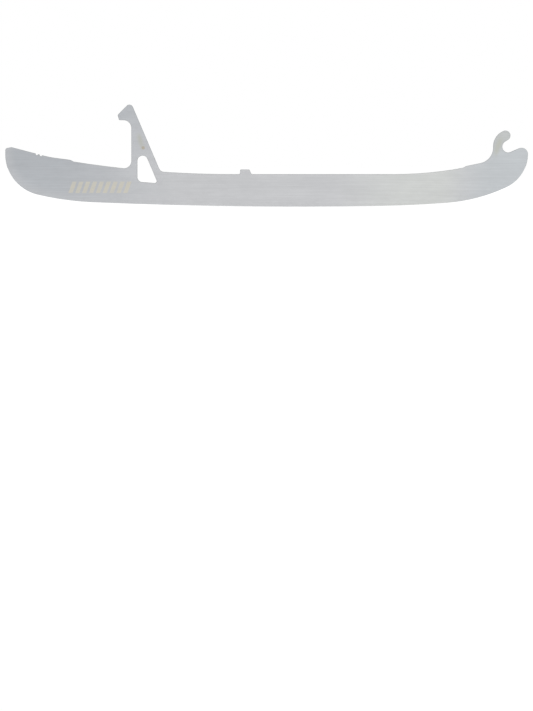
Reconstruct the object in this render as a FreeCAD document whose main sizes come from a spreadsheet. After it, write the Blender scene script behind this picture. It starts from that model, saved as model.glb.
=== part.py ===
"""Removable steel runner of an ice hockey skate.

One plate of stainless steel, cut to its outline and ground along the skating edge. X runs from heel to toe,
Y across the plate and Z up. The origin is at mid-length, in the plate's middle plane, on the ice under the
lowest point of the skating edge. All lengths are in millimetres and all angles in degrees.
"""

import FreeCAD, Part
import math
import os

import Sketcher
from FreeCAD import Vector

# Driving dimensions: name, value, meaning
SIZES = (
    ("overall_length", 282.0, "heel end to toe end"),
    ("thickness", 2.9, "plate thickness"),
    ("bar_height", 17.5, "level top edge above the ice"),
    # Skating edge, a smooth chain of arcs from heel to toe
    ("pivot_ahead", 17.0, "lowest point of the rocker, ahead of mid-length"),
    ("rocker_radius", 2600.0, "long rocker that stands on the ice"),
    ("heel_curve_start", 47.0, "rocker's rear end, ahead of the heel end"),
    ("heel_curve_radius", 160.0, "upward curve behind the rocker"),
    ("heel_nose_radius", 22.5, "round under the heel end"),
    ("toe_rocker_start", 79.0, "rocker's front end, behind the toe end"),
    ("toe_rocker_radius", 612.0, "tighter rocker under the ball of the foot"),
    ("toe_curve_start", 44.0, "tighter rocker's front end, behind the toe end"),
    ("toe_curve_radius", 94.0, "upward curve ahead of the tighter rocker"),
    ("toe_nose_radius", 20.5, "round under the toe end"),
    ("toe_tip_radius", 3.45, "round at the toe's upper tip"),
    # Grinding of the skating edge
    ("hollow_radius", 12.7, "radius of the hollow ground along the edge"),
    ("grinding_stock", 0.3, "steel that grinding takes off under the blank"),
    ("grinding_runout", 20.0, "angle up each nose where grinding stops"),
    ("wheel_overhang", 2.0, "grinding wheel past each face of the plate"),
    ("wheel_depth", 3.0, "depth of the wheel's cut below the edge"),
    # Top edge of the bar
    ("heel_rise_start", 122.0, "rear end of the level edge, ahead of the heel end"),
    ("heel_rise_radius", 540.0, "curve that lifts the edge towards the heel"),
    ("heel_step_place", 35.3, "head of the seat step at the heel, ahead of the heel end"),
    ("heel_step_run", 1.4, "length of the heel step"),
    ("heel_step_rise", 0.85, "height gained over the heel step"),
    ("heel_seat_slope", 7.8, "slope of the seat behind the heel step"),
    ("heel_bend_place", 23.5, "where the edge bends up behind the heel seat, ahead of the heel end"),
    ("heel_bend_radius", 50.0, "bend between the heel seat and the edge behind it"),
    ("heel_crest_place", 3.3, "crest of the heel, ahead of the heel end"),
    ("heel_crest_rise", 5.3, "crest of the heel above the bend, before it is rounded"),
    ("heel_crest_radius", 2.0, "round of the crest"),
    ("heel_crest_drop", 0.65, "fall from the crest to the heel's rear corner"),
    ("heel_corner_radius", 1.3, "round of the heel's rear corner"),
    ("toe_rise_start", 72.0, "front end of the level edge, behind the toe end"),
    ("toe_rise_radius", 200.0, "curve that lifts the edge towards the toe"),
    ("toe_step_place", 34.8, "foot of the seat step at the toe, behind the toe end"),
    ("toe_step_run", 1.6, "length of the toe step"),
    ("toe_step_rise", 0.9, "height gained over the toe step"),
    ("toe_seat_slope", 11.6, "slope of the seat ahead of the toe step"),
    ("step_round", 1.5, "rounds at the foot and head of each step"),
    # Front hook and its notch, which hang on the holder's front pin
    ("notch_behind_toe", 10.7, "notch centre, behind the toe end"),
    ("notch_height", 32.33, "notch centre above the ice"),
    ("notch_radius", 3.15, "round seat of the notch"),
    ("mouth_floor_slope", 23.0, "slope of the edge from the notch up to the toe tip"),
    ("mouth_roof_slope", 31.7, "slope of the hook's underside over the mouth"),
    ("mouth_roof_length", 1.85, "straight of the hook's underside"),
    ("neck_width", 4.85, "steel behind the notch"),
    ("hook_bulb_radius", 2.7, "round end of the hook"),
    ("hook_back_rise", 0.17, "centre of the hook's back above the notch centre"),
    ("hook_root_radius", 8.5, "round between the toe seat and the hook"),
    # Rear tab, whose lip the holder's latch pulls on
    ("tab_back_place", 68.0, "tab's rear edge, ahead of the heel end"),
    ("tab_foot_width", 16.2, "tab's width at the height of the bar"),
    ("tab_front_lean", 23.0, "lean of the tab's front edge from the vertical"),
    ("tab_height", 54.95, "top of the tab above the ice"),
    ("tab_top_radius", 2.0, "round at the top of the tab"),
    ("tab_upper_slope", 45.0, "slope of the edge from the lip to the top"),
    ("lip_height", 46.6, "underside of the lip above the ice"),
    ("lip_reach", 6.6, "lip's lower corner behind the tab's rear edge"),
    ("lip_end_lean", 16.0, "lean of the lip's end from the vertical"),
    ("lip_corner_radius", 1.2, "round at the lip's upper corner"),
    ("lip_tip_radius", 0.5, "round at the lip's lower corner"),
    ("throat_radius", 4.3, "round under the lip"),
    ("tab_rear_root_radius", 4.0, "round behind the tab's foot"),
    ("tab_front_root_radius", 3.1, "round ahead of the tab's foot"),
    # Window through the tab's foot
    ("window_rear_wall", 3.2, "steel behind the window"),
    ("window_front_wall", 3.7, "steel ahead of the window, square to the tab's front edge"),
    ("window_top_radius", 2.85, "full round at the window's top"),
    ("window_floor_height", 13.4, "window's floor above the ice at its rear edge"),
    ("window_floor_slope", 4.0, "fall of the floor towards the toe"),
    ("window_rear_corner", 2.7, "round of the floor's rear corner"),
    ("window_front_corner", 1.1, "round of the floor's front corner"),
    # Small tab that centres the runner in the holder
    ("locating_tab_place", 126.7, "tab's rear edge, ahead of the heel end"),
    ("locating_tab_height", 2.5, "tab above the bar"),
    ("locating_tab_width", 4.9, "length of the tab's top"),
    ("locating_tab_lean", 26.0, "lean of the tab's front edge from the vertical"),
    ("locating_tab_root_radius", 1.0, "rounds at the tab's foot"),
    ("locating_tab_corner_radius", 0.4, "rounds at the tab's top"),
    # Two half-round nicks in the heel's top edge
    ("nick_place", 17.0, "first nick, ahead of the heel end"),
    ("nick_spacing", 2.2, "first nick to the second"),
    ("nick_radius", 0.7, "radius of each nick"),
    # Edges that are not ground
    ("edge_break", 0.15, "chamfer along both faces"),
)

# Points of a curve in a sketch
START, END, CENTRE = range(1, 4)

# Places closer together than this are the same place
TOUCHING = 1e-6

doc = FreeCAD.newDocument("skate_runner")
sheet = doc.addObject("Spreadsheet::Sheet", "Sizes")
for row, (alias, value, meaning) in enumerate(SIZES, 1):
    sheet.set(f"A{row}", meaning)
    sheet.set(f"B{row}", str(value))
    sheet.setAlias(f"B{row}", alias)
doc.recompute()


def size(alias):
    """Value of a size on the sheet."""
    return float(getattr(sheet, alias))


# Plane geometry in X and Z


def polar(centre, radius, degrees):
    """The point at a distance and an angle from a centre."""
    angle = math.radians(degrees)
    return centre[0] + radius * math.cos(angle), centre[1] + radius * math.sin(angle)


def direction(start, end):
    """Angle of the line from start to end, in degrees."""
    return math.degrees(math.atan2(end[1] - start[1], end[0] - start[0]))


def lines_meet(first, first_angle, second, second_angle):
    """Where a line through each point, at each angle, crosses the other."""
    ax, az = polar((0, 0), 1, first_angle)
    bx, bz = polar((0, 0), 1, second_angle)
    reach = ((second[0] - first[0]) * bz - (second[1] - first[1]) * bx) / (ax * bz - az * bx)
    return first[0] + reach * ax, first[1] + reach * az


def circles_meet(first, first_radius, second, second_radius, side):
    """Where two circles cross, on the left (1) or the right (-1) of the line from first to second."""
    span = math.dist(first, second)
    along = (first_radius**2 - second_radius**2 + span**2) / (2 * span)
    across = math.sqrt(first_radius**2 - along**2)
    angle = direction(first, second)
    return polar(polar(first, along, angle), side * across, angle + 90)


def line_meets_circle(point, angle, centre, radius):
    """Where a line through point crosses a circle, at the crossing that is further back along its angle."""
    foot = lines_meet(point, angle, centre, angle + 90)
    return polar(foot, -math.sqrt(radius**2 - math.dist(foot, centre) ** 2), angle)


def under_circle(centre, radius, x):
    """The point of a circle's lower half at x."""
    return x, centre[1] - math.sqrt(radius**2 - (x - centre[0]) ** 2)


def smooth_centre(joint, centre, radius):
    """Centre of an arc that leaves a joint smoothly, on the same side as the arc about centre."""
    return polar(joint, radius, direction(joint, centre))


# Sketches on the plate's middle plane


class Outline:
    """A sketch in X and Z. Its curves are drawn where the sizes put them, and then tied to the sheet."""

    def __init__(self, body, name):
        self.sketch = body.newObject("Sketcher::SketchObject", name)
        plane = next(p for p in body.Origin.OriginFeatures if p.Role == "XZ_Plane")
        self.sketch.AttachmentSupport = [(plane, "")]
        self.sketch.MapMode = "FlatFace"

    def line(self, start, end):
        """A straight line."""
        return self.sketch.addGeometry(Part.LineSegment(Vector(*start, 0), Vector(*end, 0)))

    def arc(self, centre, start, end):
        """An arc that runs anticlockwise from start to end."""
        circle = Part.Circle(Vector(*centre, 0), Vector(0, 0, 1), math.dist(centre, start))
        first = math.radians(direction(centre, start))
        last = math.radians(direction(centre, end))
        if last < first:
            last += 2 * math.pi
        return self.sketch.addGeometry(Part.ArcOfCircle(circle, first, last))

    def circle(self, centre, radius):
        """A whole circle."""
        return self.sketch.addGeometry(Part.Circle(Vector(*centre, 0), Vector(0, 0, 1), radius))

    def polygon(self, *points):
        """Lines from point to point and back to the first, joined."""
        lines = [self.line(a, b) for a, b in zip(points, points[1:] + points[:1])]
        self.join(*lines, lines[0])
        return lines

    def join(self, *curves, kind="Coincident"):
        """Ties the nearest ends of each pair of neighbours."""
        for first, second in zip(curves, curves[1:]):
            gaps = {}
            for i in (START, END):
                for j in (START, END):
                    near, far = self.sketch.getPoint(first, i), self.sketch.getPoint(second, j)
                    gaps[i, j] = near.distanceToPoint(far)
            i, j = min(gaps, key=gaps.get)
            self.sketch.addConstraint(Sketcher.Constraint(kind, first, i, second, j))

    def touch(self, first, second):
        """Makes two curves tangent where they don't share an end."""
        self.sketch.addConstraint(Sketcher.Constraint("Tangent", first, second))

    def join_centre(self, curve, line):
        """Ties a curve's centre to the start of a line."""
        self.sketch.addConstraint(Sketcher.Constraint("Coincident", curve, CENTRE, line, START))

    def smooth(self, *curves):
        """Ties the nearest ends of each pair of neighbours, and makes them tangent there."""
        self.join(*curves, kind="Tangent")

    def rule(self, kind, *curves):
        """A rule with no size, such as Horizontal, for each curve."""
        for curve in curves:
            self.sketch.addConstraint(Sketcher.Constraint(kind, curve))

    def tie(self, constraint, expression):
        """A constraint whose value follows an expression on the sheet."""
        index = self.sketch.addConstraint(constraint)
        self.sketch.setExpression(f"Constraints[{index}]", expression)

    def radius(self, curve, expression):
        """Radius of an arc or circle."""
        self.tie(Sketcher.Constraint("Radius", curve, self.sketch.Geometry[curve].Radius), expression)

    def across(self, curve, end, expression):
        """Distance of a curve's end from the origin along X."""
        place = self.sketch.getPoint(curve, end)
        self.tie(Sketcher.Constraint("DistanceX", curve, end, place.x), expression)

    def above(self, curve, end, expression):
        """Distance of a curve's end from the origin along Z."""
        place = self.sketch.getPoint(curve, end)
        self.tie(Sketcher.Constraint("DistanceY", curve, end, place.y), expression)

    def slope(self, curve, expression):
        """Angle of a line, from its start to its end."""
        line = self.sketch.Geometry[curve]
        angle = math.atan2(line.EndPoint.y - line.StartPoint.y, line.EndPoint.x - line.StartPoint.x)
        self.tie(Sketcher.Constraint("Angle", curve, angle), expression)

    def long(self, line, expression):
        """Length of a line."""
        start, end = self.sketch.getPoint(line, START), self.sketch.getPoint(line, END)
        self.tie(Sketcher.Constraint("Distance", line, start.distanceToPoint(end)), expression)

    def step(self, kind, first, first_end, second, second_end, expression):
        """Distance along X or Y of the sketch from one end to another."""
        gap = self.sketch.getPoint(second, second_end) - self.sketch.getPoint(first, first_end)
        value = gap.x if kind == "DistanceX" else gap.y
        self.tie(Sketcher.Constraint(kind, first, first_end, second, second_end, value), expression)


def pad(body, name, outline):
    """Steel over the whole thickness, equal on both sides of the middle plane."""
    feature = body.newObject("PartDesign::Pad", name)
    feature.Profile = outline.sketch
    feature.SideType = "Symmetric"
    feature.setExpression("Length", "Sizes.thickness")
    doc.recompute()


def pocket(body, name, outline):
    """A cut through the whole thickness."""
    feature = body.newObject("PartDesign::Pocket", name)
    feature.Profile = outline.sketch
    feature.SideType = "Symmetric"
    feature.Type = "ThroughAll"
    doc.recompute()


def upright_edges(shape, places):
    """Names of the edges across the thickness that lie nearest to each place."""
    edges = {}
    for number, edge in enumerate(shape.Edges, 1):
        box = edge.BoundBox
        if box.XLength < TOUCHING and box.ZLength < TOUCHING:
            edges[f"Edge{number}"] = (box.XMin, box.ZMin)
    return [min(edges, key=lambda name: math.dist(edges[name], place)) for place in places]


def fillet(body, name, places, expression):
    """Rounds the corners of the outline that lie at the given places."""
    base = body.Tip
    feature = body.newObject("PartDesign::Fillet", name)
    feature.Base = (base, upright_edges(base.Shape, places))
    feature.setExpression("Radius", expression)
    doc.recompute()


# Places that more than one feature uses
heel_end = -size("overall_length") / 2
toe_end = size("overall_length") / 2
notch = (toe_end - size("notch_behind_toe"), size("notch_height"))
neck_back = notch[0] - size("notch_radius") - size("neck_width")
tab_back = heel_end + size("tab_back_place")
tab_foot_front = (tab_back + size("tab_foot_width"), size("bar_height"))
tab_front_angle = 90 + size("tab_front_lean")

HEEL_END = "-Sizes.overall_length / 2"
TOE_END = "Sizes.overall_length / 2"
NOTCH_X = f"{TOE_END} - Sizes.notch_behind_toe"
NECK_BACK = f"{NOTCH_X} - Sizes.notch_radius - Sizes.neck_width"
TAB_BACK = f"{HEEL_END} + Sizes.tab_back_place"

# Centre of the round at the toe's tip, which the floor of the notch's mouth runs into
mouth_slope = size("mouth_floor_slope")
toe_tip = lines_meet(
    polar(notch, size("notch_radius") + size("toe_tip_radius"), mouth_slope - 90),
    mouth_slope,
    (toe_end - size("toe_tip_radius"), 0),
    90,
)
TIP_X = f"{TOE_END} - Sizes.toe_tip_radius"
TIP_Z = (
    "Sizes.notch_height"
    " + (Sizes.notch_behind_toe - Sizes.toe_tip_radius) * tan(Sizes.mouth_floor_slope * 1deg)"
    " - (Sizes.notch_radius + Sizes.toe_tip_radius) / cos(Sizes.mouth_floor_slope * 1deg)"
)

runner = doc.addObject("PartDesign::Body", "runner")
runner.Label = "runner"


# Skating edge


class SkatingEdge:
    """The chain of arcs under the runner: heel nose, heel curve, rocker, toe rocker, toe curve, toe nose."""

    def __init__(self, drop):
        """Works out every centre and joint of the chain when it lies lower by drop."""
        rocker_radius = size("rocker_radius")
        self.rocker = (size("pivot_ahead"), rocker_radius - drop)
        self.heel_joint = under_circle(self.rocker, rocker_radius, heel_end + size("heel_curve_start"))
        self.heel_curve = smooth_centre(self.heel_joint, self.rocker, size("heel_curve_radius"))
        self.heel_nose = under_circle(
            self.heel_curve,
            size("heel_curve_radius") - size("heel_nose_radius"),
            heel_end + size("heel_nose_radius"),
        )
        self.heel_nose_joint = polar(
            self.heel_curve, size("heel_curve_radius"), direction(self.heel_curve, self.heel_nose)
        )
        self.toe_joint = under_circle(self.rocker, rocker_radius, toe_end - size("toe_rocker_start"))
        self.toe_rocker = smooth_centre(self.toe_joint, self.rocker, size("toe_rocker_radius"))
        self.curve_joint = under_circle(
            self.toe_rocker, size("toe_rocker_radius"), toe_end - size("toe_curve_start")
        )
        self.toe_curve = smooth_centre(self.curve_joint, self.toe_rocker, size("toe_curve_radius"))
        self.toe_nose = circles_meet(
            self.toe_curve,
            size("toe_curve_radius") - size("toe_nose_radius"),
            toe_tip,
            size("toe_nose_radius") - size("toe_tip_radius"),
            -1,
        )
        self.toe_nose_joint = polar(
            self.toe_curve, size("toe_curve_radius"), direction(self.toe_curve, self.toe_nose)
        )

    def draw(self, outline, heel_angle, toe_angle, height_expression):
        """Draws the chain between two angles of its noses, and gives its six curves from heel to toe."""
        start = polar(self.heel_nose, size("heel_nose_radius"), heel_angle)
        finish = polar(self.toe_nose, size("toe_nose_radius"), toe_angle)
        curves = [
            outline.arc(self.heel_nose, start, self.heel_nose_joint),
            outline.arc(self.heel_curve, self.heel_nose_joint, self.heel_joint),
            outline.arc(self.rocker, self.heel_joint, self.toe_joint),
            outline.arc(self.toe_rocker, self.toe_joint, self.curve_joint),
            outline.arc(self.toe_curve, self.curve_joint, self.toe_nose_joint),
            outline.arc(self.toe_nose, self.toe_nose_joint, finish),
        ]
        names = ("heel_nose", "heel_curve", "rocker", "toe_rocker", "toe_curve", "toe_nose")
        outline.smooth(*curves)
        for curve, name in zip(curves, names):
            outline.radius(curve, f"Sizes.{name}_radius")
        rocker, toe_rocker = curves[2:4]
        outline.across(rocker, CENTRE, "Sizes.pivot_ahead")
        outline.above(rocker, CENTRE, height_expression)
        outline.across(rocker, START, f"{HEEL_END} + Sizes.heel_curve_start")
        outline.across(rocker, END, f"{TOE_END} - Sizes.toe_rocker_start")
        outline.across(toe_rocker, END, f"{TOE_END} - Sizes.toe_curve_start")
        return curves


# Top edge of the bar: curves that lift it from the level, a step, and then the seats
heel_level_end = (heel_end + size("heel_rise_start"), size("bar_height"))
heel_rise_centre = (heel_level_end[0], heel_level_end[1] + size("heel_rise_radius"))
heel_step_foot = under_circle(
    heel_rise_centre,
    size("heel_rise_radius"),
    heel_end + size("heel_step_place") + size("heel_step_run"),
)
heel_step_head = (
    heel_step_foot[0] - size("heel_step_run"),
    heel_step_foot[1] + size("heel_step_rise"),
)
heel_bend = lines_meet(
    heel_step_head, -size("heel_seat_slope"), (heel_end + size("heel_bend_place"), 0), 90
)
heel_crest = (heel_end + size("heel_crest_place"), heel_bend[1] + size("heel_crest_rise"))
heel_corner = (heel_end, heel_crest[1] - size("heel_crest_drop"))
toe_level_end = (toe_end - size("toe_rise_start"), size("bar_height"))
toe_rise_centre = (toe_level_end[0], toe_level_end[1] + size("toe_rise_radius"))
toe_step_foot = under_circle(toe_rise_centre, size("toe_rise_radius"), toe_end - size("toe_step_place"))
toe_step_head = (
    toe_step_foot[0] + size("toe_step_run"),
    toe_step_foot[1] + size("toe_step_rise"),
)
toe_seat_end = lines_meet(toe_step_head, size("toe_seat_slope"), (neck_back, 0), 90)
HEEL_BEND_Z = (
    "Sizes.bar_height + Sizes.heel_rise_radius + Sizes.heel_step_rise"
    " - sqrt(Sizes.heel_rise_radius ^ 2"
    " - (Sizes.heel_rise_start - Sizes.heel_step_place - Sizes.heel_step_run) ^ 2)"
    " + (Sizes.heel_step_place - Sizes.heel_bend_place) * tan(Sizes.heel_seat_slope * 1deg)"
)
HEEL_CREST_Z = f"{HEEL_BEND_Z} + Sizes.heel_crest_rise"
TOE_STEP_HEAD_X = f"{TOE_END} - Sizes.toe_step_place + Sizes.toe_step_run"
TOE_STEP_HEAD_Z = (
    "Sizes.bar_height + Sizes.toe_rise_radius + Sizes.toe_step_rise"
    " - sqrt(Sizes.toe_rise_radius ^ 2 - (Sizes.toe_rise_start - Sizes.toe_step_place) ^ 2)"
)


def draw_bar():
    """Bar from heel to toe, with the stock that grinding takes off still under it."""
    edge = SkatingEdge(size("grinding_stock"))
    outline = Outline(runner, "bar_outline")
    chain = edge.draw(
        outline, 180, direction(edge.toe_nose, toe_tip), "Sizes.rocker_radius - Sizes.grinding_stock"
    )
    heel_back = outline.line(heel_corner, (heel_end, edge.heel_nose[1]))
    heel_bevel = outline.line(heel_crest, heel_corner)
    tip_top = polar(toe_tip, size("toe_tip_radius"), mouth_slope + 90)
    tip = outline.arc(
        toe_tip, polar(toe_tip, size("toe_tip_radius"), direction(edge.toe_nose, toe_tip)), tip_top
    )
    floor_end = polar(notch, size("notch_radius"), mouth_slope - 90)
    mouth_floor = outline.line(tip_top, floor_end)
    to_notch = outline.line(floor_end, notch)
    under_hook = outline.line(notch, toe_seat_end)
    toe_seat = outline.line(toe_seat_end, toe_step_head)
    toe_step = outline.line(toe_step_head, toe_step_foot)
    toe_rise = outline.arc(toe_rise_centre, toe_level_end, toe_step_foot)
    level = outline.line(toe_level_end, heel_level_end)
    heel_rise = outline.arc(heel_rise_centre, heel_step_foot, heel_level_end)
    heel_step = outline.line(heel_step_foot, heel_step_head)
    heel_seat = outline.line(heel_step_head, heel_bend)
    heel_top = outline.line(heel_bend, heel_crest)

    outline.smooth(heel_back, chain[0])
    outline.smooth(chain[-1], tip, mouth_floor)
    outline.join(mouth_floor, to_notch, under_hook, toe_seat, toe_step, toe_rise)
    outline.smooth(toe_rise, level, heel_rise)
    outline.join(heel_rise, heel_step, heel_seat, heel_top, heel_bevel, heel_back)
    outline.rule("Horizontal", level)
    outline.rule("Vertical", heel_back)
    outline.across(heel_back, START, HEEL_END)
    outline.above(heel_back, START, f"{HEEL_CREST_Z} - Sizes.heel_crest_drop")
    outline.across(heel_bevel, START, f"{HEEL_END} + Sizes.heel_crest_place")
    outline.above(heel_bevel, START, HEEL_CREST_Z)
    outline.radius(tip, "Sizes.toe_tip_radius")
    outline.across(tip, CENTRE, TIP_X)
    outline.above(tip, CENTRE, TIP_Z)
    outline.slope(mouth_floor, "Sizes.mouth_floor_slope * 1deg - 180deg")
    outline.slope(to_notch, "Sizes.mouth_floor_slope * 1deg + 90deg")
    outline.across(to_notch, END, NOTCH_X)
    outline.above(to_notch, END, "Sizes.notch_height")
    outline.across(under_hook, END, NECK_BACK)
    outline.slope(toe_seat, "Sizes.toe_seat_slope * 1deg - 180deg")
    outline.radius(toe_rise, "Sizes.toe_rise_radius")
    outline.across(toe_rise, START, f"{TOE_END} - Sizes.toe_rise_start")
    outline.across(toe_rise, END, f"{TOE_END} - Sizes.toe_step_place")
    outline.step("DistanceX", toe_step, END, toe_step, START, "Sizes.toe_step_run")
    outline.step("DistanceY", toe_step, END, toe_step, START, "Sizes.toe_step_rise")
    outline.above(level, START, "Sizes.bar_height")
    outline.radius(heel_rise, "Sizes.heel_rise_radius")
    outline.across(heel_rise, END, f"{HEEL_END} + Sizes.heel_rise_start")
    outline.across(
        heel_rise, START, f"{HEEL_END} + Sizes.heel_step_place + Sizes.heel_step_run"
    )
    outline.step("DistanceX", heel_step, END, heel_step, START, "Sizes.heel_step_run")
    outline.step("DistanceY", heel_step, START, heel_step, END, "Sizes.heel_step_rise")
    outline.slope(heel_seat, "180deg - Sizes.heel_seat_slope * 1deg")
    outline.across(heel_top, START, f"{HEEL_END} + Sizes.heel_bend_place")
    pad(runner, "bar", outline)


def draw_front_hook():
    """Hook over the notch: a neck that sweeps up from the toe seat and ends in a round bulb."""
    bulb_radius = size("hook_bulb_radius")
    roof_slope = size("mouth_roof_slope")
    roof_start = polar(notch, size("notch_radius"), roof_slope + 90)
    bulb_start = polar(roof_start, size("mouth_roof_length"), roof_slope)
    bulb = polar(bulb_start, bulb_radius, roof_slope + 90)
    reach = bulb[0] - neck_back
    rise = bulb[1] - notch[1] - size("hook_back_rise")
    back_radius = (reach**2 + rise**2 - bulb_radius**2) / (2 * (reach - bulb_radius))
    back_centre = (neck_back + back_radius, notch[1] + size("hook_back_rise"))
    bulb_end = polar(back_centre, back_radius, direction(back_centre, bulb))

    root_radius = size("hook_root_radius")
    seat_slope = size("toe_seat_slope")
    root_centre = line_meets_circle(
        polar(toe_seat_end, root_radius, seat_slope + 90),
        seat_slope,
        back_centre,
        back_radius + root_radius,
    )
    root_top = polar(root_centre, root_radius, direction(root_centre, back_centre))
    root_foot = polar(root_centre, root_radius, seat_slope - 90)
    rear_base = (root_foot[0], size("bar_height"))
    front_base = (notch[0], size("bar_height"))

    outline = Outline(runner, "hook_outline")
    base = outline.line(rear_base, front_base)
    to_notch = outline.line(front_base, notch)
    to_roof = outline.line(notch, roof_start)
    mouth_roof = outline.line(roof_start, bulb_start)
    round_end = outline.arc(bulb, bulb_start, bulb_end)
    back = outline.arc(back_centre, bulb_end, root_top)
    root = outline.arc(root_centre, root_foot, root_top)
    rear = outline.line(root_foot, rear_base)
    seat = outline.line(toe_step_head, root_foot)
    neck_side = outline.line((neck_back, size("bar_height")), (neck_back, back_centre[1]))
    outline.sketch.toggleConstruction(seat)
    outline.sketch.toggleConstruction(neck_side)

    outline.join(root, rear, base, to_notch, to_roof, mouth_roof)
    outline.smooth(mouth_roof, round_end, back, root, seat)
    outline.touch(neck_side, back)
    outline.rule("Horizontal", base)
    outline.rule("Vertical", rear, to_notch, neck_side)
    outline.above(base, START, "Sizes.bar_height")
    outline.across(to_notch, END, NOTCH_X)
    outline.above(to_notch, END, "Sizes.notch_height")
    outline.slope(to_roof, "90deg + Sizes.mouth_roof_slope * 1deg")
    outline.long(to_roof, "Sizes.notch_radius")
    outline.slope(mouth_roof, "Sizes.mouth_roof_slope * 1deg")
    outline.long(mouth_roof, "Sizes.mouth_roof_length")
    outline.radius(round_end, "Sizes.hook_bulb_radius")
    outline.across(neck_side, START, NECK_BACK)
    outline.above(neck_side, START, "Sizes.bar_height")
    outline.above(neck_side, END, "Sizes.notch_height + Sizes.hook_back_rise")
    outline.above(back, CENTRE, "Sizes.notch_height + Sizes.hook_back_rise")
    outline.radius(root, "Sizes.hook_root_radius")
    outline.across(seat, START, TOE_STEP_HEAD_X)
    outline.above(seat, START, TOE_STEP_HEAD_Z)
    outline.slope(seat, "Sizes.toe_seat_slope * 1deg")
    pad(runner, "front_hook", outline)


def draw_rear_tab():
    """Leaning tab with a lip at its rear. Gives the throat and the lip's corners, to be rounded."""
    lean = size("tab_front_lean")
    top_round = lines_meet(
        polar(tab_foot_front, size("tab_top_radius"), lean + 180),
        tab_front_angle,
        (0, size("tab_height") - size("tab_top_radius")),
        0,
    )
    front_top = polar(top_round, size("tab_top_radius"), lean)
    upper_top = polar(top_round, size("tab_top_radius"), 90 + size("tab_upper_slope"))
    lip_low = (tab_back - size("lip_reach"), size("lip_height"))
    lip_high = lines_meet(
        lip_low, 90 + size("lip_end_lean"), upper_top, size("tab_upper_slope")
    )
    throat = (tab_back, size("lip_height"))
    rear_foot = (tab_back, size("window_floor_height"))
    front_foot = lines_meet(tab_foot_front, tab_front_angle, rear_foot, 0)

    outline = Outline(runner, "rear_tab_outline")
    foot = outline.line(rear_foot, front_foot)
    front = outline.line(front_foot, front_top)
    top = outline.arc(top_round, front_top, upper_top)
    upper = outline.line(upper_top, lip_high)
    lip_end = outline.line(lip_high, lip_low)
    lip_under = outline.line(lip_low, throat)
    back = outline.line(throat, rear_foot)

    outline.join(back, foot, front)
    outline.smooth(front, top, upper)
    outline.join(upper, lip_end, lip_under, back)
    outline.rule("Horizontal", foot, lip_under)
    outline.rule("Vertical", back)
    outline.across(back, END, TAB_BACK)
    outline.above(back, END, "Sizes.window_floor_height")
    outline.above(back, START, "Sizes.lip_height")
    outline.slope(front, "90deg + Sizes.tab_front_lean * 1deg")
    outline.across(
        foot,
        END,
        f"{TAB_BACK} + Sizes.tab_foot_width"
        " + (Sizes.bar_height - Sizes.window_floor_height) * tan(Sizes.tab_front_lean * 1deg)",
    )
    outline.radius(top, "Sizes.tab_top_radius")
    outline.above(top, CENTRE, "Sizes.tab_height - Sizes.tab_top_radius")
    outline.slope(upper, "Sizes.tab_upper_slope * 1deg - 180deg")
    outline.slope(lip_end, "Sizes.lip_end_lean * 1deg - 90deg")
    outline.across(lip_under, START, f"{TAB_BACK} - Sizes.lip_reach")
    pad(runner, "rear_tab", outline)
    return throat, lip_high, lip_low


def draw_locating_tab():
    """Low tab on the level edge, upright at its rear. Gives its foot and top corners, to be rounded."""
    rear = heel_end + size("locating_tab_place")
    front = rear + size("locating_tab_width")
    level = size("bar_height")
    top = level + size("locating_tab_height")
    base = level - size("locating_tab_height")
    lean = 90 + size("locating_tab_lean")
    front_foot = lines_meet((front, top), lean, (0, base), 0)
    corners = ((rear, base), front_foot, (front, top), (rear, top))

    outline = Outline(runner, "locating_tab_outline")
    foot, slant, crown, back = outline.polygon(*corners)
    outline.rule("Horizontal", foot, crown)
    outline.rule("Vertical", back)
    outline.across(back, START, f"{HEEL_END} + Sizes.locating_tab_place")
    outline.above(back, START, "Sizes.bar_height + Sizes.locating_tab_height")
    outline.above(foot, START, "Sizes.bar_height - Sizes.locating_tab_height")
    outline.long(crown, "Sizes.locating_tab_width")
    outline.slope(slant, "90deg + Sizes.locating_tab_lean * 1deg")
    pad(runner, "locating_tab", outline)
    root = lines_meet((front, top), lean, (0, level), 0)
    return ((rear, level), root), ((rear, top), (front, top))


def cut_notch():
    """Round seat of the notch, from the roof of its mouth round to the mouth's floor."""
    radius = size("notch_radius")
    roof_start = polar(notch, radius, size("mouth_roof_slope") + 90)
    floor_end = polar(notch, radius, mouth_slope - 90)
    outline = Outline(runner, "notch_outline")
    to_roof = outline.line(notch, roof_start)
    seat = outline.arc(notch, roof_start, floor_end)
    to_floor = outline.line(floor_end, notch)
    outline.join(to_roof, seat, to_floor, to_roof)
    outline.join_centre(seat, to_roof)
    outline.slope(to_roof, "90deg + Sizes.mouth_roof_slope * 1deg")
    outline.slope(to_floor, "Sizes.mouth_floor_slope * 1deg + 90deg")
    outline.radius(seat, "Sizes.notch_radius")
    outline.across(seat, CENTRE, NOTCH_X)
    outline.above(seat, CENTRE, "Sizes.notch_height")
    pocket(runner, "notch", outline)


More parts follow.
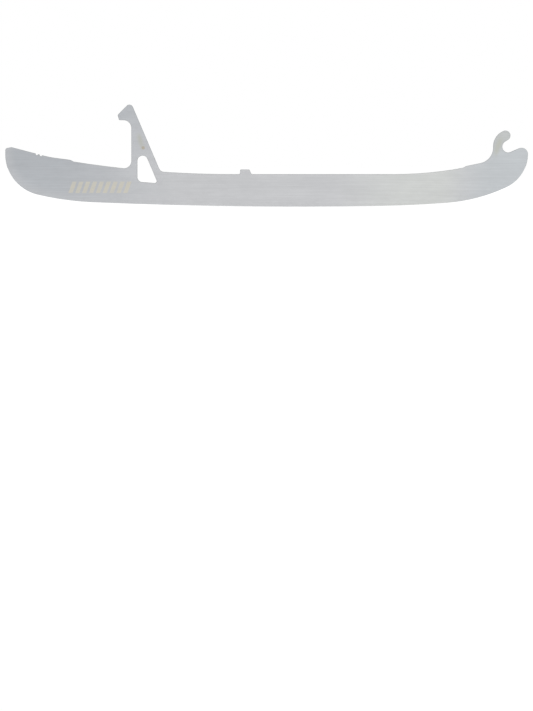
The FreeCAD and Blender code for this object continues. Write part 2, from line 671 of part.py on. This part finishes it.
def cut_window():
    """Window in the tab's foot, with a full round at its top. Gives its floor's corners, to be rounded."""
    lean = size("tab_front_lean")
    radius = size("window_top_radius")
    rear = tab_back + size("window_rear_wall")
    front = polar(tab_foot_front, size("window_front_wall"), lean + 180)
    crown = lines_meet(polar(front, radius, lean + 180), tab_front_angle, (rear + radius, 0), 90)
    rear_top = (rear, crown[1])
    front_top = polar(crown, radius, lean)
    rear_floor = (rear, size("window_floor_height"))
    front_floor = lines_meet(front, tab_front_angle, rear_floor, -size("window_floor_slope"))

    outline = Outline(runner, "window_outline")
    floor = outline.line(rear_floor, front_floor)
    slant = outline.line(front_floor, front_top)
    top = outline.arc(crown, front_top, rear_top)
    back = outline.line(rear_top, rear_floor)
    outline.join(back, floor, slant)
    outline.smooth(slant, top, back)
    outline.rule("Vertical", back)
    outline.across(back, END, f"{TAB_BACK} + Sizes.window_rear_wall")
    outline.above(back, END, "Sizes.window_floor_height")
    outline.slope(floor, "-Sizes.window_floor_slope * 1deg")
    outline.slope(slant, "90deg + Sizes.tab_front_lean * 1deg")
    outline.radius(top, "Sizes.window_top_radius")
    tab_front = outline.line(
        tab_foot_front, lines_meet(tab_foot_front, tab_front_angle, (0, size("lip_height")), 0)
    )
    outline.sketch.toggleConstruction(tab_front)
    outline.across(tab_front, START, f"{TAB_BACK} + Sizes.tab_foot_width")
    outline.above(tab_front, START, "Sizes.bar_height")
    outline.above(tab_front, END, "Sizes.lip_height")
    outline.slope(tab_front, "90deg + Sizes.tab_front_lean * 1deg")
    outline.tie(
        Sketcher.Constraint("Distance", slant, START, tab_front, size("window_front_wall")),
        "Sizes.window_front_wall",
    )
    pocket(runner, "window", outline)
    return rear_floor, front_floor


def cut_nicks():
    """Two half-round nicks in the heel's top edge."""
    outline = Outline(runner, "nick_outline")
    edge = outline.line(heel_crest, heel_bend)
    outline.sketch.toggleConstruction(edge)
    outline.across(edge, START, f"{HEEL_END} + Sizes.heel_crest_place")
    outline.above(edge, START, HEEL_CREST_Z)
    outline.across(edge, END, f"{HEEL_END} + Sizes.heel_bend_place")
    outline.above(edge, END, HEEL_BEND_Z)
    slope = direction(heel_crest, heel_bend)
    places = {
        "Sizes.nick_place": size("nick_place"),
        "Sizes.nick_place + Sizes.nick_spacing": size("nick_place") + size("nick_spacing"),
    }
    for expression, place in places.items():
        nick = outline.circle(
            lines_meet(heel_crest, slope, (heel_end + place, 0), 90), size("nick_radius")
        )
        outline.radius(nick, "Sizes.nick_radius")
        outline.across(nick, CENTRE, f"{HEEL_END} + {expression}")
        outline.sketch.addConstraint(Sketcher.Constraint("PointOnObject", nick, CENTRE, edge))
    pocket(runner, "heel_nicks", outline)


def break_edges():
    """Small chamfer along every edge of the two faces, before the skating edge is ground."""
    base = runner.Tip
    half = size("thickness") / 2
    names = []
    for number, edge in enumerate(base.Shape.Edges, 1):
        ends = [vertex.Point.y for vertex in edge.Vertexes]
        on_a_face = all(abs(abs(y) - half) < TOUCHING for y in ends)
        if on_a_face and abs(ends[0] - ends[-1]) < TOUCHING:
            names.append(f"Edge{number}")
    feature = runner.newObject("PartDesign::Chamfer", "broken_edges")
    feature.Base = (base, names)
    feature.setExpression("Size", "Sizes.edge_break")
    doc.recompute()


def grind():
    """Takes the stock off along the skating edge with a wheel that leaves a shallow hollow."""
    edge = SkatingEdge(0)
    path = Outline(runner, "grinding_path")
    runout = size("grinding_runout")
    curves = edge.draw(path, 180 + runout, -runout, "Sizes.rocker_radius")
    path.across(curves[0], CENTRE, f"{HEEL_END} + Sizes.heel_nose_radius")
    for curve, end, nose in ((curves[0], START, "heel_nose"), (curves[-1], END, "toe_nose")):
        path.step(
            "DistanceY",
            curve,
            end,
            curve,
            CENTRE,
            f"Sizes.{nose}_radius * sin(Sizes.grinding_runout * 1deg)",
        )
    tip = path.circle(toe_tip, size("toe_tip_radius"))
    path.sketch.toggleConstruction(tip)
    path.radius(tip, "Sizes.toe_tip_radius")
    path.across(tip, CENTRE, TIP_X)
    path.above(tip, CENTRE, TIP_Z)
    path.touch(curves[-1], tip)
    doc.recompute()

    half = size("thickness") / 2
    outer = half + size("wheel_overhang")
    below = size("wheel_depth")
    hollow_centre = (math.sqrt(size("hollow_radius") ** 2 - half**2), 0)
    wheel = Outline(runner, "wheel_outline")
    wheel.sketch.AttachmentSupport = [(path.sketch, "Edge1")]
    wheel.sketch.MapMode = "FrenetNB"
    hollow = wheel.arc(hollow_centre, (0, half), (0, -half))
    shoulder = wheel.line((0, half), (0, outer))
    side = wheel.line((0, outer), (below, outer))
    bottom = wheel.line((below, outer), (below, -outer))
    other_side = wheel.line((below, -outer), (0, -outer))
    other_shoulder = wheel.line((0, -outer), (0, -half))
    wheel.join(hollow, shoulder, side, bottom, other_side, other_shoulder, hollow)
    wheel.rule("Vertical", shoulder, bottom, other_shoulder)
    wheel.rule("Horizontal", side, other_side)
    wheel.radius(hollow, "Sizes.hollow_radius")
    wheel.across(shoulder, START, "0")
    wheel.across(other_shoulder, END, "0")
    wheel.above(shoulder, START, "Sizes.thickness / 2")
    wheel.above(other_shoulder, END, "-Sizes.thickness / 2")
    wheel.above(side, START, "Sizes.thickness / 2 + Sizes.wheel_overhang")
    wheel.above(other_side, END, "-Sizes.thickness / 2 - Sizes.wheel_overhang")
    wheel.across(bottom, START, "Sizes.wheel_depth")
    doc.recompute()

    feature = runner.newObject("PartDesign::SubtractivePipe", "skating_edge")
    feature.Profile = wheel.sketch
    feature.Spine = path.sketch
    doc.recompute()


draw_bar()
draw_front_hook()
throat, lip_high, lip_low = draw_rear_tab()
tab_roots, tab_corners = draw_locating_tab()
cut_notch()
window_rear, window_front = cut_window()

tab_rear_root = under_circle(heel_rise_centre, size("heel_rise_radius"), tab_back)
fillet(runner, "heel_corner", [heel_corner], "Sizes.heel_corner_radius")
fillet(runner, "heel_crest", [heel_crest], "Sizes.heel_crest_radius")
fillet(runner, "heel_bend", [heel_bend], "Sizes.heel_bend_radius")
fillet(
    runner,
    "seat_steps",
    [heel_step_foot, heel_step_head, toe_step_foot, toe_step_head],
    "Sizes.step_round",
)
fillet(runner, "throat", [throat], "Sizes.throat_radius")
fillet(runner, "lip_corner", [lip_high], "Sizes.lip_corner_radius")
fillet(runner, "lip_tip", [lip_low], "Sizes.lip_tip_radius")
fillet(runner, "tab_rear_root", [tab_rear_root], "Sizes.tab_rear_root_radius")
fillet(runner, "tab_front_root", [tab_foot_front], "Sizes.tab_front_root_radius")
fillet(runner, "window_rear_corner", [window_rear], "Sizes.window_rear_corner")
fillet(runner, "window_front_corner", [window_front], "Sizes.window_front_corner")
fillet(runner, "locating_tab_roots", tab_roots, "Sizes.locating_tab_root_radius")
fillet(runner, "locating_tab_corners", tab_corners, "Sizes.locating_tab_corner_radius")
cut_nicks()
break_edges()
grind()

doc.recompute()
for item in doc.Objects:
    faults = [state for state in item.State if state in ("Invalid", "Error")]
    if faults:
        raise RuntimeError(f"{item.Name} is {faults}")
if runner.Shape.isNull() or not runner.Shape.isValid() or len(runner.Shape.Solids) != 1:
    raise RuntimeError("the runner is not one valid solid")

os.makedirs("parts", exist_ok=True)
runner.Shape.exportStep(os.path.join("parts", f"{runner.Label}.step"))
box = runner.Shape.optimalBoundingBox()
print(f"runner {box.XLength:.2f} x {box.YLength:.2f} x {box.ZLength:.2f} mm, {runner.Shape.Volume:.0f} mm3")
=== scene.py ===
"""A hockey skate runner on a pale floor, seen from its side: finishes, lights and camera.

X runs from heel to toe, Y across the steel and Z up, in metres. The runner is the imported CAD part.
Its faces get four finishes: brushed cheeks, cut walls, broken edges and the ground skating edge.
"""

import math

import bpy
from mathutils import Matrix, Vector


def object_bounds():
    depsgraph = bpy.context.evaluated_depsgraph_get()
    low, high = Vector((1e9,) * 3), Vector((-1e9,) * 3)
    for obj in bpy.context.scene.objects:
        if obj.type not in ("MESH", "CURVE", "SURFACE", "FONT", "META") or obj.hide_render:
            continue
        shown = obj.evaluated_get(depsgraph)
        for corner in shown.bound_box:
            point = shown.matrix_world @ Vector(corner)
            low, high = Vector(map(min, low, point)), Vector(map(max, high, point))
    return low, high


MM = 0.001

# Picture: its height and the line that the runner stands on, in pixels, and a pixel's size on the near cheek
PICTURE_HEIGHT = 711
FLOOR_LINE = 206.65
PIXEL = 0.5395 * MM

# Camera: its place along X and above the floor, its lens and sensor in millimetres, and how far it sees
CAMERA_X = -0.08 * MM
CAMERA_HEIGHT = 28 * MM
LENS = 200
SENSOR_HEIGHT = 36
FURTHEST_SEEN = 50

# Studio: a pale floor that glows where it is seen, and white surroundings that light less than they show
WHITE = (1, 1, 1, 1)
FLOOR_SIZE = 12
FLOOR_COLOUR = (0.82, 0.82, 0.82, 1)
FLOOR_GLOW = 0.56
WORLD_LIGHT = 0.55

# Place that all the lights face
LIGHTS_AIM = (0, 0, 20 * MM)

# Finishes by their number on the runner
CHEEK, WALL, CHAMFER, SKATING_EDGE = range(4)

# How far a face's normal lies across the steel, at least on a cheek and at most on a wall
CHEEK_ACROSS = 0.97
WALL_ACROSS = 0.2

# Underside: how far up its normal lies at most, where it ends, and the window that isn't part of it
UNDERSIDE_UP = -0.05
EDGE_TOP = 22 * MM
NOSE_START = 118 * MM
WINDOW_REAR, WINDOW_FRONT, WINDOW_FLOOR = -72 * MM, -57 * MM, 10 * MM

# Tones of the cheeks: painted shade at the heel, the plain tone along the bar, a painted highlight where the
# bar starts to rise, painted shade at the toe, and the tone on the hook
HEEL_SHADE_TONE = (0.461, 0.480, 0.505, 1)
MIDDLE_TONE = (0.562, 0.567, 0.580, 1)
HIGHLIGHT_TONE = (0.592, 0.604, 0.594, 1)
TOE_SHADE_TONE = (0.514, 0.538, 0.556, 1)
HOOK_TONE = (0.508, 0.520, 0.508, 1)

# Where each tone fades in, from none of it to all of it, and its share where less than all of it shows
HEEL_SHADE_X = -35 * MM, -125 * MM
TAB_FADE_X, TAB_FADE_Z, TAB_SHARE = (-40 * MM, -60 * MM), (20 * MM, 50 * MM), 0.4
HIGHLIGHT_REAR_X, HIGHLIGHT_FRONT_X = (30 * MM, 80 * MM), (115 * MM, 92 * MM)
TOE_SHADE_X = 95 * MM, 125 * MM
HOOK_REAR, HOOK_FRONT, HOOK_SOFT = 118 * MM, 132.5 * MM, 1 * MM
HOOK_FADE_Z, HOOK_SHARE = (29 * MM, 33 * MM), 0.7

# Rim above the skating edge under the heel, as light as the bar, where the painted heel shade is partly
# lifted: where it fades in, its width and share
RIM_FADE_X, RIM_WIDTH, RIM_SHARE = (-55 * MM, -100 * MM), 6 * MM, 0.45

# Two arcs of the skating edge under the heel, by centre in X and Z and radius, and the joint between them
HEEL_CURVE, HEEL_CURVE_RADIUS = (-87.17 * MM, 162.23 * MM), 160 * MM
HEEL_NOSE, HEEL_NOSE_RADIUS = (-118.5 * MM, 28.34 * MM), 22.5 * MM
HEEL_JOINT_X = -123.6 * MM

# Hatched strip on the near cheek: its place, its slanted bars, and how much of it shows
HATCH_COLOUR = (0.655, 0.620, 0.520, 1)
HATCH_REAR, HATCH_LOW, HATCH_HIGH, HATCH_SOFT = -110 * MM, 7.4 * MM, 13.4 * MM, 0.15 * MM
HATCH_BARS = 9
HATCH_PITCH = 3.7 * MM
HATCH_SLANT = 0.36
HATCH_SHARE = 0.8
HATCH_ROUGHER = 0.1

# Each bar's start, end and soft border, and the soft ends of the row, in shares of the pitch
BAR_START, BAR_END, BAR_SOFT = 0.12, 0.68, 0.06
ROW_SOFT = 0.01

# Small spot on the near cheek: its place in X and Z, its radius, and the share of it that is soft
SPOT_COLOUR = (0.450, 0.405, 0.325, 1)
SPOT, SPOT_RADIUS, SPOT_SOFT = (-66.6 * MM, 31.7 * MM), 0.9 * MM, 0.3

# Faint stains on the near cheek: the two ends of each in X and Z, its width, and how much of it shows
STAIN_COLOUR = (0.478, 0.484, 0.418, 1)
TAB_STAIN = (-67.0 * MM, 32 * MM), (-69.0 * MM, 38.5 * MM)
TAB_STAIN_WIDTH, TAB_STAIN_SHARE = 2.2 * MM, 0.75
NECK_STAIN = (123.3 * MM, 28 * MM), (126.2 * MM, 36.5 * MM)
NECK_STAIN_WIDTH, NECK_STAIN_SHARE = 2.4 * MM, 0.7

# Darkest and lightest colours of the other finishes
WALL_DARK, WALL_LIGHT = (0.39, 0.40, 0.41, 1), (0.47, 0.48, 0.49, 1)
CHAMFER_DARK, CHAMFER_LIGHT = (0.28, 0.29, 0.30, 1), (0.40, 0.41, 0.42, 1)
EDGE_DARK, EDGE_LIGHT = (0.46, 0.47, 0.48, 1), (0.60, 0.61, 0.62, 1)


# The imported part


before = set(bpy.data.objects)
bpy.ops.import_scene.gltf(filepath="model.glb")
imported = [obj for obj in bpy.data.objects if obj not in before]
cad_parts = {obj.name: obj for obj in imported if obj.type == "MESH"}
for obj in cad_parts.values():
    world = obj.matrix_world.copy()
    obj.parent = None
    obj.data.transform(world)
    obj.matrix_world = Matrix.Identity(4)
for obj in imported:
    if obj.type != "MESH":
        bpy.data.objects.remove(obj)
cad_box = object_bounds()
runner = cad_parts["runner"]


# Node helpers


class Nodes:
    """A node tree, emptied, with short calls for the nodes that the scene is made of."""

    def __init__(self, tree):
        self.tree = tree
        self.tree.nodes.clear()

    def new(self, kind, **settings):
        """A node with its settings."""
        node = self.tree.nodes.new(kind)
        for key, value in settings.items():
            setattr(node, key, value)
        return node

    def put(self, socket, value):
        """Links a socket to another, or sets its value."""
        if isinstance(value, bpy.types.NodeSocket):
            self.tree.links.new(value, socket)
        else:
            socket.default_value = value

    def show(self, shader, output="ShaderNodeOutputMaterial"):
        """Sends a shader to the tree's output."""
        self.put(self.new(output).inputs["Surface"], shader)

    def calc(self, operation, *values, clamp=False):
        """One operation on one to three numbers."""
        node = self.new("ShaderNodeMath", operation=operation, use_clamp=clamp)
        for socket, value in zip(node.inputs, values):
            self.put(socket, value)
        return node.outputs[0]

    def times(self, *values):
        """Product of two or more numbers."""
        product = values[0]
        for value in values[1:]:
            product = self.calc("MULTIPLY", product, value)
        return product

    def span(self, value, low, high, to_low=0.0, to_high=1.0, smooth=False):
        """Maps a number from one range to another, and holds it at the ends."""
        node = self.new("ShaderNodeMapRange")
        node.interpolation_type = "SMOOTHSTEP" if smooth else "LINEAR"
        for socket, number in zip(node.inputs, (value, low, high, to_low, to_high)):
            self.put(socket, number)
        return node.outputs[0]

    def spread(self, noise, to_low=0.0, to_high=1.0, low=0.3, high=0.7):
        """Maps the middle of a noise, where nearly all of it lies, to a range."""
        return self.span(noise, low, high, to_low, to_high)

    def mix(self, amount, first, second, blend="MIX"):
        """Mixes two colours."""
        node = self.new("ShaderNodeMix", data_type="RGBA", blend_type=blend)
        self.put(node.inputs["Factor"], amount)
        self.put(node.inputs["A"], first)
        self.put(node.inputs["B"], second)
        return node.outputs["Result"]

    def grey(self, value):
        """A number as a grey, for a colour mix."""
        combined = self.new("ShaderNodeCombineColor")
        for socket in combined.inputs:
            self.put(socket, value)
        return combined.outputs[0]

    def direction(self, x, y, z):
        """A fixed direction, for a tangent."""
        combined = self.new("ShaderNodeCombineXYZ")
        for socket, value in zip(combined.inputs, (x, y, z)):
            socket.default_value = value
        return combined.outputs[0]

    def place(self):
        """The place on the object, in metres."""
        return self.new("ShaderNodeTexCoord").outputs["Object"]

    def axis(self, name):
        """One coordinate of the place on the object."""
        split = self.new("ShaderNodeSeparateXYZ")
        self.put(split.inputs[0], self.place())
        return split.outputs[name]

    def between(self, value, low, high, soft):
        """1 between two values, falling to 0 over a soft border."""
        rise = self.span(value, low - soft, low, smooth=True)
        fall = self.span(value, high + soft, high, smooth=True)
        return self.times(rise, fall)

    def distance(self, x, z, centre):
        """Distance from a place in X and Z."""
        from_x = self.calc("SUBTRACT", x, centre[0])
        from_z = self.calc("SUBTRACT", z, centre[1])
        return self.calc("SQRT", self.calc("ADD", self.times(from_x, from_x), self.times(from_z, from_z)))

    def streak(self, x, z, ends, width):
        """1 on the line between two places in X and Z, falling to 0 at a width beside and past it."""
        (x0, z0), (x1, z1) = ends
        length = math.dist(*ends)
        cos = (x1 - x0) / length
        sin = (z1 - z0) / length
        from_x = self.calc("SUBTRACT", x, x0)
        from_z = self.calc("SUBTRACT", z, z0)
        along = self.calc("ADD", self.times(from_x, cos), self.times(from_z, sin))
        across = self.calc("SUBTRACT", self.times(from_z, cos), self.times(from_x, sin))
        return self.times(
            self.span(self.calc("ABSOLUTE", across), width, 0, smooth=True),
            self.span(along, -width, width, smooth=True),
            self.span(along, length + width, length - width, smooth=True),
        )

    def noise(self, cells, detail, roughness=0.5, offset=(0, 0, 0)):
        """Noise from 0 to 1, by the number of its cells to the metre along each axis."""
        mapping = self.new("ShaderNodeMapping")
        self.put(mapping.inputs["Vector"], self.place())
        mapping.inputs["Scale"].default_value = cells
        mapping.inputs["Location"].default_value = offset
        noise = self.new("ShaderNodeTexNoise")
        self.put(noise.inputs["Vector"], mapping.outputs[0])
        noise.inputs["Scale"].default_value = 1
        noise.inputs["Detail"].default_value = detail
        noise.inputs["Roughness"].default_value = roughness
        return noise.outputs["Fac"]

    def bump(self, height, depth, strength):
        """A bump from a height of 0 to 1, whose full depth is in metres."""
        node = self.new("ShaderNodeBump")
        node.inputs["Strength"].default_value = strength
        node.inputs["Distance"].default_value = depth
        self.put(node.inputs["Height"], height)
        return node.outputs[0]

    def seen(self):
        """1 for what the camera sees, straight on, in a reflection or through glass, and 0 for lighting."""
        rays = self.new("ShaderNodeLightPath").outputs
        seen = self.calc("MAXIMUM", rays["Is Camera Ray"], rays["Is Glossy Ray"])
        return self.calc("MAXIMUM", seen, rays["Is Transmission Ray"])

    def steel(self, colour, roughness, normal=None, anisotropy=0.0, tangent=None):
        """Bare steel on the tree's output."""
        shader = self.new("ShaderNodeBsdfPrincipled")
        shader.inputs["Metallic"].default_value = 1.0
        shader.inputs["Anisotropic"].default_value = anisotropy
        self.put(shader.inputs["Base Color"], colour)
        self.put(shader.inputs["Roughness"], roughness)
        if normal:
            self.put(shader.inputs["Normal"], normal)
        if tangent:
            self.put(shader.inputs["Tangent"], tangent)
        self.show(shader.outputs[0])


def start_material(name):
    """A new material and its nodes."""
    material = bpy.data.materials.new(name)
    material.use_nodes = True
    return material, Nodes(material.node_tree)


# Brushed cheeks


def above_heel_edge(nodes, x, z):
    """Height of the steel above the skating edge under the heel, square to the edge."""
    over_curve = nodes.calc("SUBTRACT", HEEL_CURVE_RADIUS, nodes.distance(x, z, HEEL_CURVE))
    over_nose = nodes.calc("SUBTRACT", HEEL_NOSE_RADIUS, nodes.distance(x, z, HEEL_NOSE))
    on_nose = nodes.calc("LESS_THAN", x, HEEL_JOINT_X)
    on_curve = nodes.calc("SUBTRACT", 1, on_nose)
    return nodes.calc("ADD", nodes.times(over_curve, on_curve), nodes.times(over_nose, on_nose))


def cheek_tone(nodes, x, z):
    """Colour of the cheeks: painted shade, cooler and darker, towards the heel, darker up the tab, a painted
    highlight before the toe and painted shade at the toe.
    """
    # The heel and toe masks lay painted shade, and the mask between them lays a painted highlight
    heel = nodes.span(x, *HEEL_SHADE_X, smooth=True)
    up_tab = nodes.times(nodes.span(z, *TAB_FADE_Z), nodes.span(x, *TAB_FADE_X), TAB_SHARE)
    highlight = nodes.times(
        nodes.span(x, *HIGHLIGHT_REAR_X, smooth=True),
        nodes.span(x, *HIGHLIGHT_FRONT_X, smooth=True),
    )
    toe = nodes.span(x, *TOE_SHADE_X, smooth=True)
    hook = nodes.between(x, HOOK_REAR, HOOK_FRONT, HOOK_SOFT)
    hook = nodes.times(hook, nodes.span(z, *HOOK_FADE_Z), HOOK_SHARE)
    heel_rim = nodes.span(above_heel_edge(nodes, x, z), RIM_WIDTH, 0, smooth=True)
    heel_rim = nodes.times(heel_rim, nodes.span(x, *RIM_FADE_X), RIM_SHARE)

    # Painted shade towards the heel, and the tab darkened to the same colour
    tone = nodes.mix(nodes.calc("ADD", heel, up_tab, clamp=True), MIDDLE_TONE, HEEL_SHADE_TONE)
    # Painted highlight before the toe
    tone = nodes.mix(highlight, tone, HIGHLIGHT_TONE)
    # Painted shade at the toe, past the painted highlight
    tone = nodes.mix(toe, tone, TOE_SHADE_TONE)
    tone = nodes.mix(hook, tone, HOOK_TONE)
    return nodes.mix(heel_rim, tone, MIDDLE_TONE)


def hatched_strip(nodes, x, z):
    """1 on the slanted bars of the hatched strip."""
    slanted = nodes.calc("SUBTRACT", x, nodes.times(z, HATCH_SLANT))
    pitches = nodes.calc("DIVIDE", nodes.calc("SUBTRACT", slanted, HATCH_REAR), HATCH_PITCH)
    return nodes.times(
        nodes.between(nodes.calc("FRACT", pitches), BAR_START, BAR_END, BAR_SOFT),
        nodes.between(pitches, 0, HATCH_BARS, ROW_SOFT),
        nodes.between(z, HATCH_LOW, HATCH_HIGH, HATCH_SOFT),
    )


def small_spot(nodes, x, z):
    """1 on the small spot, falling to 0 over its soft rim."""
    outside = SPOT_RADIUS * (1 + SPOT_SOFT)
    inside = SPOT_RADIUS * (1 - SPOT_SOFT)
    return nodes.span(nodes.distance(x, z, SPOT), outside, inside, smooth=True)


def faint_stains(nodes, x, z):
    """The two stains, each at its own share, and 0 beside them."""
    on_tab = nodes.times(nodes.streak(x, z, TAB_STAIN, TAB_STAIN_WIDTH), TAB_STAIN_SHARE)
    on_neck = nodes.times(nodes.streak(x, z, NECK_STAIN, NECK_STAIN_WIDTH), NECK_STAIN_SHARE)
    return nodes.calc("MAXIMUM", on_tab, on_neck)


def brushed_cheeks():
    """Satin stainless cheeks with painted shade towards heel and toe and a painted highlight between, a fine
    grain along the blade, a hatched strip, a spot and faint stains.
    """
    material, nodes = start_material("brushed_cheeks")
    x = nodes.axis("X")
    z = nodes.axis("Z")

    # Fine, middling and coarse scratches, all along the blade
    fine = nodes.noise(cells=(60, 400, 9000), detail=3, roughness=0.65)
    middling = nodes.noise(cells=(25, 200, 2400), detail=2, roughness=0.6, offset=(3, 0, 7))
    coarse = nodes.noise(cells=(10, 100, 640), detail=3, roughness=0.6, offset=(11, 0, 2))
    grain = nodes.calc("ADD", nodes.times(fine, 0.45), nodes.times(middling, 0.3))
    grain = nodes.calc("ADD", grain, nodes.times(coarse, 0.25))

    # Cloudy patches and flecks where the steel was tumbled and handled
    cloud = nodes.noise(cells=(24, 26, 55), detail=4, roughness=0.6, offset=(5, 1, 3))
    fleck = nodes.noise(cells=(130, 100, 420), detail=3, roughness=0.7, offset=(1, 4, 9))
    shade = nodes.times(
        nodes.spread(grain, 0.90, 1.10, low=0.32, high=0.68),
        nodes.spread(cloud, 0.96, 1.04),
        nodes.spread(fleck, 0.975, 1.025),
    )
    colour = nodes.mix(1.0, cheek_tone(nodes, x, z), nodes.grey(shade), blend="MULTIPLY")

    # Patchy marks, on the near cheek only
    near_side = nodes.span(nodes.axis("Y"), 0, -1 * MM)
    patchy = nodes.times(near_side, nodes.spread(fleck, 0.6, 1.0, high=0.6))
    strip = nodes.times(hatched_strip(nodes, x, z), patchy)
    colour = nodes.mix(nodes.times(faint_stains(nodes, x, z), patchy), colour, STAIN_COLOUR)
    colour = nodes.mix(nodes.times(strip, HATCH_SHARE), colour, HATCH_COLOUR)
    colour = nodes.mix(nodes.times(small_spot(nodes, x, z), patchy), colour, SPOT_COLOUR)

    roughness = nodes.calc("ADD", nodes.spread(grain, 0.34, 0.48), nodes.times(strip, HATCH_ROUGHER))
    normal = nodes.bump(grain, depth=0.003 * MM, strength=0.8)
    nodes.steel(colour, roughness, normal, anisotropy=0.6, tangent=nodes.direction(0, 0, 1))
    return material


# Other finishes


def cut_walls():
    """Cut and tumbled walls of the plate, with faint lines across the thickness."""
    material, nodes = start_material("cut_walls")
    fine = nodes.noise(cells=(5200, 160, 5200), detail=2, roughness=0.6)
    broad = nodes.noise(cells=(1300, 60, 1300), detail=2, offset=(4, 2, 6))
    lines = nodes.calc("ADD", nodes.times(fine, 0.5), nodes.times(broad, 0.5))
    cloud = nodes.noise(cells=(300, 300, 300), detail=3, offset=(2, 5, 1))
    colour = nodes.mix(nodes.spread(cloud), WALL_DARK, WALL_LIGHT)
    roughness = nodes.spread(lines, 0.38, 0.52)
    nodes.steel(colour, roughness, nodes.bump(lines, depth=0.012 * MM, strength=0.6))
    return material


def broken_edges():
    """Small tumbled chamfers, a little darker than the cheeks beside them."""
    material, nodes = start_material("broken_edges")
    wear = nodes.noise(cells=(420, 420, 420), detail=3)
    colour = nodes.mix(nodes.spread(wear), CHAMFER_DARK, CHAMFER_LIGHT)
    roughness = nodes.spread(wear, 0.34, 0.46)
    nodes.steel(colour, roughness)
    return material


def ground_edge():
    """Ground hollow, smoother than the rest, with fine lines along the blade."""
    material, nodes = start_material("ground_edge")
    lines = nodes.noise(cells=(30, 9000, 300), detail=2, roughness=0.6)
    colour = nodes.mix(nodes.spread(lines), EDGE_DARK, EDGE_LIGHT)
    roughness = nodes.spread(lines, 0.22, 0.34)
    nodes.steel(colour, roughness, nodes.bump(lines, depth=0.003 * MM, strength=0.6))
    return material


def finish_of(centre, normal):
    """Number of the finish for a face, by its centre and normal."""
    across = abs(normal.y)
    if across > CHEEK_ACROSS:
        return CHEEK
    if across >= WALL_ACROSS:
        return CHAMFER
    in_window = WINDOW_REAR < centre.x < WINDOW_FRONT and centre.z > WINDOW_FLOOR
    underside = normal.z < UNDERSIDE_UP and not in_window
    nose = abs(centre.x) > NOSE_START and normal.x * centre.x > 0
    return SKATING_EDGE if centre.z < EDGE_TOP and (underside or nose) else WALL


runner.data.materials.clear()
for finish in (brushed_cheeks(), cut_walls(), broken_edges(), ground_edge()):
    runner.data.materials.append(finish)
for face in runner.data.polygons:
    face.material_index = finish_of(face.center, face.normal)


# Floor, surroundings, lights and camera


def lay_floor():
    """A wide pale floor under the skating edge. It is lit as usual, and glows where it is seen."""
    material, nodes = start_material("pale_floor")
    diffuse = nodes.new("ShaderNodeBsdfDiffuse")
    diffuse.inputs["Color"].default_value = FLOOR_COLOUR
    glow = nodes.new("ShaderNodeEmission")
    glow.inputs["Color"].default_value = WHITE
    nodes.put(glow.inputs["Strength"], nodes.times(nodes.seen(), FLOOR_GLOW))
    both = nodes.new("ShaderNodeAddShader")
    nodes.put(both.inputs[0], diffuse.outputs[0])
    nodes.put(both.inputs[1], glow.outputs[0])
    nodes.show(both.outputs[0])

    bpy.ops.mesh.primitive_plane_add(size=FLOOR_SIZE, location=(0, 0, 0))
    floor = bpy.context.object
    floor.name = "floor"
    floor.data.materials.append(material)


def fill_world():
    """Surroundings that are white where they are seen, and light everything more softly."""
    world = bpy.data.worlds.new("studio")
    world.use_nodes = True
    nodes = Nodes(world.node_tree)
    background = nodes.new("ShaderNodeBackground")
    background.inputs["Color"].default_value = WHITE
    nodes.put(background.inputs["Strength"], nodes.span(nodes.seen(), 0, 1, to_low=WORLD_LIGHT))
    nodes.show(background.outputs[0], output="ShaderNodeOutputWorld")
    bpy.context.scene.world = world


def add_softbox(name, place, width, height, power):
    """A rectangular studio light that faces the lights' common aim, with its power in watts."""
    data = bpy.data.lights.new(name, "AREA")
    data.shape = "RECTANGLE"
    data.size = width
    data.size_y = height
    data.energy = power
    lamp = bpy.data.objects.new(name, data)
    bpy.context.collection.objects.link(lamp)
    lamp.location = place
    lamp.rotation_euler = (Vector(LIGHTS_AIM) - Vector(place)).to_track_quat("-Z", "Y").to_euler()


def set_camera():
    """A long lens at the runner's height, tilted down so that the runner is high in the picture."""
    data = bpy.data.cameras.new("camera")
    data.sensor_fit = "VERTICAL"
    data.sensor_height = SENSOR_HEIGHT
    data.lens = LENS
    data.clip_end = FURTHEST_SEEN
    camera = bpy.data.objects.new("camera", data)
    bpy.context.collection.objects.link(camera)

    # The near cheek lies where one pixel is its true size, and the floor under it on its line of the picture
    reach = PICTURE_HEIGHT * PIXEL * LENS / SENSOR_HEIGHT
    to_floor_line = math.atan((PICTURE_HEIGHT / 2 - FLOOR_LINE) * PIXEL / reach)
    tilt = to_floor_line + math.atan(CAMERA_HEIGHT / reach)
    near_cheek = cad_box[0][1]
    camera.location = (CAMERA_X, near_cheek - reach / math.cos(tilt), CAMERA_HEIGHT)
    camera.rotation_euler = (math.pi / 2 - tilt, 0, 0)
    bpy.context.scene.camera = camera


lay_floor()
fill_world()
add_softbox("key", (0.15, -1.6, 0.75), width=0.35, height=0.7, power=0.8)
add_softbox("side", (-1.3, -0.7, 0.9), width=0.8, height=0.8, power=0.6)
add_softbox("back", (0.3, 1.4, 1.0), width=0.9, height=0.6, power=3)
set_camera()
bpy.context.scene.view_settings.view_transform = "Standard"
